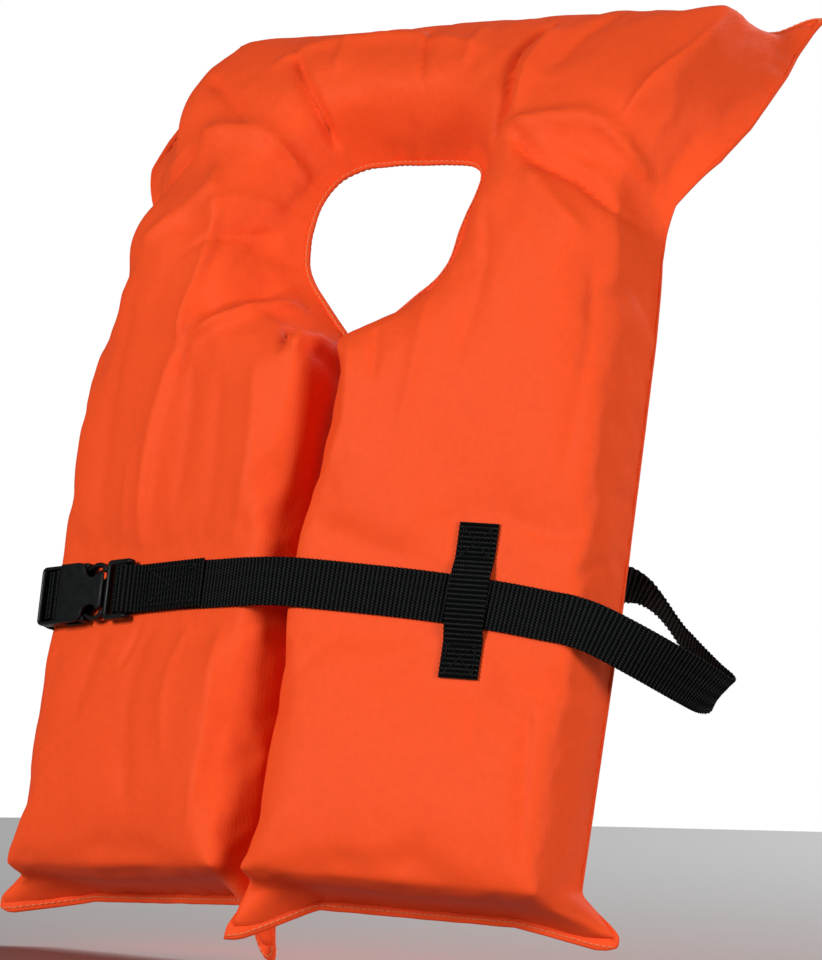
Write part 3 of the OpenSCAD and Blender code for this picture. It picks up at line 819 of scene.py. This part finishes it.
# The socket's strap turns over the socket's bar, goes round the panel's edge, and ends over the belt's end.
STRAP_END_DEPTH = -4.9
strap_run = [(147.6, 45.2, 0), (147.6, 48.4, 0), (149.2, 50.5, 0), (151.5, 51.0, 0), (153.8, 50.5, 0),
             (155.4, 48.4, 0), (156.4, 45.4, 0)]
strap_run += [(u, d, 0) for u, d in arc(157, 29, 16.4, 15.3, 72, 0, 5)]
strap_run += [(173.6, 10, 0), (173.6, 2, 0), (171.5, -2.2, 0), (165, -2.9, 0), (120, -3.0, 0), (90, -3.0, 0),
              (74, -3.8, 0), (66, STRAP_END_DEPTH, 0), (50, STRAP_END_DEPTH, 0)]
strap = ribbon("socket_strap_web", *along_left(strap_run), body=None)

KEEPER_MIDDLE = -BELT_DROP - KEEPER_DROP
KEEPER_SEWN = 44.2  # depth of the keeper's middle where it is sewn down
keeper_run = [(KEEPER_LENGTH / 2, KEEPER_SEWN), (KEEPER_LENGTH / 2 - 12, 44.1), (21, KEEPER_SEWN),
              (16.5, 45.4), (11, 46.5), (0, 46.7)]
keeper_run += [(-h, d) for h, d in keeper_run[-2::-1]]
keeper_at = np.array([(KEEPER_ACROSS, d, KEEPER_MIDDLE + h) for h, d in keeper_run])
keeper_centre = on_panel(keeper_at)
keeper_up = (on_panel(keeper_at + (1, 0, 0)) - keeper_centre) / MM
keeper = ribbon("keeper", keeper_centre, keeper_up, KEEPER_WIDTH)
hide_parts("keeper_loop")


# ------------------------------------------------------------ stitches

STITCH_RADIUS = 0.42
# Rings of a stitch: [share of its length, share of its radius, lift in radii]
STITCH_RINGS = [(0.04, 0.55, -0.9), (0.14, 0.95, 0.1), (0.5, 1.0, 0.55), (0.86, 0.95, 0.1),
                (0.96, 0.55, -0.9)]


def stitches(name, lines, material, pitch=3.0, body="front_panels"):
    """Rows of stitches. A line is an array of points [x, y, z, outward x, y, z] in the row frame."""
    turns = np.radians(range(0, 360, 60))
    sides = len(turns)
    verts, faces = [], []
    for line in lines:
        run = np.concatenate([[0], np.cumsum(np.linalg.norm(np.diff(line[:, :3], axis=0), axis=1))])
        count = max(1, round(run[-1] / (pitch * MM)))
        ends = np.linspace(0, run[-1], count + 1)
        at = np.stack([np.interp(ends, run, line[:, k]) for k in range(6)], 1)
        for a, b in zip(at, at[1:]):
            along = (b[:3] - a[:3]) / np.linalg.norm(b[:3] - a[:3])
            out = a[3:] - along * (a[3:] @ along)
            out /= np.linalg.norm(out)
            side = np.cross(along, out)
            first = len(verts)
            for t, r, lift in STITCH_RINGS:
                mid = a[:3] + (b[:3] - a[:3]) * t + out * lift * STITCH_RADIUS * MM
                verts += [mid + (side * math.cos(q) + out * math.sin(q)) * r * STITCH_RADIUS * MM
                          for q in turns]
            last = len(verts) - sides
            faces += [tuple(range(first, first + sides)), tuple(reversed(range(last, last + sides)))]
            faces += tube(len(STITCH_RINGS), sides, first)
    obj = make_mesh(name, verts, faces)
    smooth(tidy_normals(obj))
    paint(obj, material)
    if body:
        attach(obj, body)
    return obj


def box_lines(place, u0, u1, v0, v1, depth):
    """The lines of a box of stitches with a cross in it. place turns [u, d, v] to the row frame."""
    corners = {(i, j): (u, depth, v) for i, u in enumerate((u0, u1)) for j, v in enumerate((v0, v1))}
    pairs = [((0, 0), (1, 0)), ((1, 0), (1, 1)), ((1, 1), (0, 1)), ((0, 1), (0, 0)), ((0, 0), (1, 1)),
             ((1, 0), (0, 1))]
    out = place([0, math.copysign(1, depth), 0])[0] - place([0, 0, 0])[0]
    return [np.hstack([place([corners[a], corners[b]]), np.tile(out / MM, (2, 1))]) for a, b in pairs]


BOX_HALF = 9.5
belt_box = box_lines(on_left_belt, 43, 80, -BOX_HALF, BOX_HALF, OVER + WEB_THICK / 2)
belt_box += box_lines(on_left_belt, 52, 64, -BOX_HALF, BOX_HALF, STRAP_END_DEPTH - WEB_THICK / 2)
belt_stitches = stitches("belt_box_stitches", belt_box, BLACK_THREAD)
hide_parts("belt_thread")
keeper_boxes = []
inset = KEEPER_WIDTH / 2 - 3
for foot, head in ((-37, -22), (22, 37)):
    keeper_boxes += box_lines(on_panel, KEEPER_ACROSS - inset, KEEPER_ACROSS + inset,
                              KEEPER_MIDDLE + foot, KEEPER_MIDDLE + head, KEEPER_SEWN + WEB_THICK / 2)
keeper_stitches = stitches("keeper_box_stitches", keeper_boxes, BLACK_THREAD)
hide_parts("keeper_thread")

flap = seam_flap()
flap_stitches = stitches("seam_stitches", flap_stitch_lines(), THREAD, pitch=3.4, body=None)
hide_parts("right_seam_thread", "left_seam_thread", "collar_seam_thread")

# ------------------------------------------------------------ buckle

# Buckle outlines are [distance from the plug's shoulder, height], in millimetres.


def round_rect(x0, x1, y0, y1, r):
    return arc(x1 - r, y0 + r, r, r, -90, 0) + arc(x1 - r, y1 - r, r, r, 0, 90) \
        + arc(x0 + r, y1 - r, r, r, 90, 180) + arc(x0 + r, y0 + r, r, r, 180, 270)


def flipped(outline):
    return [(p, -v) for p, v in reversed(outline)]


def plate(outlines, low, high, bevel):
    """A flat moulding with rounded edges, from its outline and holes, between two depths from the middle."""
    curve = bpy.data.curves.new("plate", "CURVE")
    curve.dimensions, curve.fill_mode = "2D", "BOTH"
    curve.extrude = (high - low) / 2 - bevel
    curve.bevel_depth, curve.bevel_resolution, curve.offset = bevel, 3, -bevel
    for outline in outlines:
        spline = curve.splines.new("POLY")
        spline.points.add(len(outline) - 1)
        for point, (p, v) in zip(spline.points, outline):
            point.co = (p, v, 0, 1)
        spline.use_cyclic_u = True
    obj = bpy.data.objects.new("plate", curve)
    bpy.context.scene.collection.objects.link(obj)
    bpy.context.view_layer.update()
    mesh = bpy.data.meshes.new_from_object(obj.evaluated_get(bpy.context.evaluated_depsgraph_get()))
    bpy.data.objects.remove(obj)
    co = coords(mesh)
    co[:, 2] += (high + low) / 2
    return co, [tuple(f.vertices) for f in mesh.polygons]


def moulding(name, plates, body, *nodes):
    """Joins plates in one piece on the left panel, and shades it smooth up to its corners."""
    verts, faces = [], []
    for co, polygons in plates:
        first = sum(len(v) for v in verts)
        verts.append(on_left_belt(np.stack([PLUG_ACROSS + co[:, 0], BUCKLE_DEPTH + co[:, 2], co[:, 1]], 1)))
        faces += [tuple(first + i for i in f) for f in polygons]
    obj = make_mesh(name, np.vstack(verts), faces)
    work = bmesh.new()
    work.from_mesh(obj.data)
    bmesh.ops.remove_doubles(work, verts=work.verts, dist=0.00002)
    bmesh.ops.recalc_face_normals(work, faces=work.faces)
    for edge in work.edges:
        edge.smooth = len(edge.link_faces) == 2 and edge.calc_face_angle(0) < math.radians(40)
    work.to_mesh(obj.data)
    work.free()
    smooth(obj)
    paint(obj, PLASTIC)
    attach(obj, body)
    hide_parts(*nodes)


FRAME_END = -18  # the plug's frame is open at its inner end, where the belt leaves it
frame_half = arc(FRAME_END + 1.5, 14.4, 1.5, 1.4, 90, 270) + [(-4, 13), (-3.3, 12.3)]
frame_outline = arc(-3.4, 12.8, 3, 3, 0, 90) + frame_half \
    + flipped(frame_half) + arc(-3.4, -12.8, 3, 3, -90, 0)
plug_frame = plate([frame_outline], -2.6, 2.6, 1.25)
plug_bar = plate([round_rect(-13.4, -9.6, -14, 14, 1)], -1.6, 1.6, 0.7)
moulding("plug_frame_plastic", [plug_frame, plug_bar], "front_panels", "plug_frame")
guide_outline = [(-1, -2.6), (3, -1.9), (21, -1.5), (23.5, -0.8), (23.5, 0.8), (21, 1.5), (3, 1.9), (-1, 2.6)]
moulding("plug_guide_plastic", [plate([guide_outline], -1.6, 1.6, 0.4)], "front_panels", "plug_guide")

# A prong is a sprung loop that bulges out of the socket's scallop, then a barb inside the socket.
prong = [(0.2, 9.8), (0.2, 12.2), (2.6, 14.3), (5.8, 15.3), (9.2, 15.2), (12.4, 13.9), (15.0, 12.6),
         (18.2, 12.5), (27.0, 14.0), (28.6, 13.2), (29.6, 11.2), (29.2, 9.6), (24, 9.8), (17, 10.4),
         (13.2, 11.6), (9.6, 12.9), (6.2, 13.0), (3.6, 11.8), (2.6, 9.8)]
moulding("upper_prong_plastic", [plate([prong], -2, 2, 0.7)], "upper_prong", "upper_prong")
moulding("lower_prong_plastic", [plate([flipped(prong)], -2, 2, 0.7)], "lower_prong", "lower_prong")

SOCKET_END = 51.0
SOCKET_FACE = 4.3  # half thickness of the socket
half_socket = [(0.1, 8.6)] + arc(2.4, 8.8, 1.6, 1.4, 170, 90, 4) + arc(8.8, 11.4, 5.6, 4.0, 200, 345, 12) \
    + [(15.4, 13.6), (17.2, 15.1), (21, 15.7), (31.5, 15.7)]
socket_front = half_socket + [(34.6, 15.7), (34.6, -15.7)] + flipped(half_socket)
outer_frame = round_rect(30.5, SOCKET_END, -15.5, 15.5, 3.0)
window = round_rect(35.6, 48.6, -13.5, 13.5, 0.8)
socket_parts = [plate([socket_front], 2.6, SOCKET_FACE, 0.75),
                plate([socket_front], -SOCKET_FACE, -2.6, 0.75),
                plate([outer_frame, window], -3.4, 3.4, 1.3),
                plate([round_rect(31, 35.4, -15.2, 15.2, 1)], -3.9, 3.9, 0.4),
                plate([round_rect(39.6, 43.4, -14, 14, 0.8)], -1.9, 1.1, 0.7)]
for post in (-14.1, 14.1):
    socket_parts.append(plate([round_rect(14.2, 18, post - 1.3, post + 1.3, 1.0)], -2.8, 2.8, 0.3))
moulding("socket_plastic", socket_parts, "socket", "socket_shell")

# ------------------------------------------------------------ camera, light and floor


def aim(obj, place, target, roll=0.0):
    """Puts a camera or a light at place, and turns it to the target."""
    turn = (Vector(target) - Vector(place)).to_track_quat("-Z", "Y").to_matrix()
    obj.location = place
    obj.rotation_euler = (turn @ Matrix.Rotation(roll, 3, "Z")).to_euler()


def add_camera():
    """The photo's view: its direction, distance and lens were fitted to the panels' edges."""
    azimuth, elevation, distance = math.radians(36.96), math.radians(-0.15), 3.5688
    target = Vector((0.03754, -0.018, -0.12653))
    level = math.cos(elevation)
    back = Vector((math.sin(azimuth) * level, -math.cos(azimuth) * level, math.sin(elevation)))
    data = bpy.data.cameras.new("camera")
    data.sensor_width = 36
    data.lens = 262.7
    data.clip_end = 50
    camera = bpy.data.objects.new("camera", data)
    bpy.context.scene.collection.objects.link(camera)
    aim(camera, target + back * distance, target, roll=math.radians(0.97))
    bpy.context.scene.camera = camera


def add_light(name, place, target, size, power):
    data = bpy.data.lights.new(name, "AREA")
    data.shape = "RECTANGLE"
    data.size = data.size_y = size
    data.energy = power
    light = bpy.data.objects.new(name, data)
    bpy.context.scene.collection.objects.link(light)
    aim(light, place, target)
    return light


def add_world(strength):
    """An even white surround, seen at full brightness and giving a softer light."""
    world = bpy.data.worlds.new("studio")
    world.use_nodes = True
    tree = world.node_tree
    seen = tree.nodes.new("ShaderNodeLightPath")
    level = tree.nodes.new("ShaderNodeMapRange")
    level.inputs["To Min"].default_value = strength
    level.inputs["To Max"].default_value = 1.0
    tree.links.new(seen.outputs["Is Camera Ray"], level.inputs["Value"])
    background = tree.nodes["Background"]
    background.inputs["Color"].default_value = (1, 1, 1, 1)
    tree.links.new(level.outputs[0], background.inputs["Strength"])
    bpy.context.scene.world = world


def add_floor(height):
    n = Nodes("floor_paint")
    grain = n.add("TexNoise", {"Scale": 40.0})
    n.surface(Base_Color=(0.9, 0.9, 0.9, 1.0), Roughness=0.7, Normal=n.bump(grain, 0.0002, 0.1))
    rim = [(x, y, height) for x, y in arc(0, 0, 1.5, 1.5, 0, 355, 72)]
    floor = make_mesh("floor", rim, [tuple(range(len(rim)))])
    floor.data.materials.append(n.material)
    return floor


def keep_off(floor, *lights):
    """Keeps the front lights off the floor, whose glow would fill the shade under the hems."""
    apart = bpy.data.collections.new("floor_apart")
    apart.objects.link(floor)
    apart.collection_objects[0].light_linking.link_state = "EXCLUDE"
    for light in lights:
        light.light_linking.receiver_collection = apart


bpy.context.scene.view_settings.view_transform = "Standard"
add_camera()
add_world(0.07)
key = add_light("key", (-0.7, -2.8, 0.9), (0, 0, -0.12), 0.9, 78)
fill = add_light("fill", (2.9, -0.8, 0.35), (0, 0, -0.1), 1.0, 50)
add_light("top", (0.4, 2.2, 1.6), (0.2, 1.0, -0.35), 1.6, 48)

# ------------------------------------------------------------ what rides on what

for soft in (cover, flap, flap_stitches):
    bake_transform(soft)
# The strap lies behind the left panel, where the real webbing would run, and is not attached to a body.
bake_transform(strap)
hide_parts("socket_strap")
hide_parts(*[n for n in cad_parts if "cover" in n or "foam" in n or "shoulder" in n])

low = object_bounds()[0].z
keep_off(add_floor(low - 0.001), key, fill)
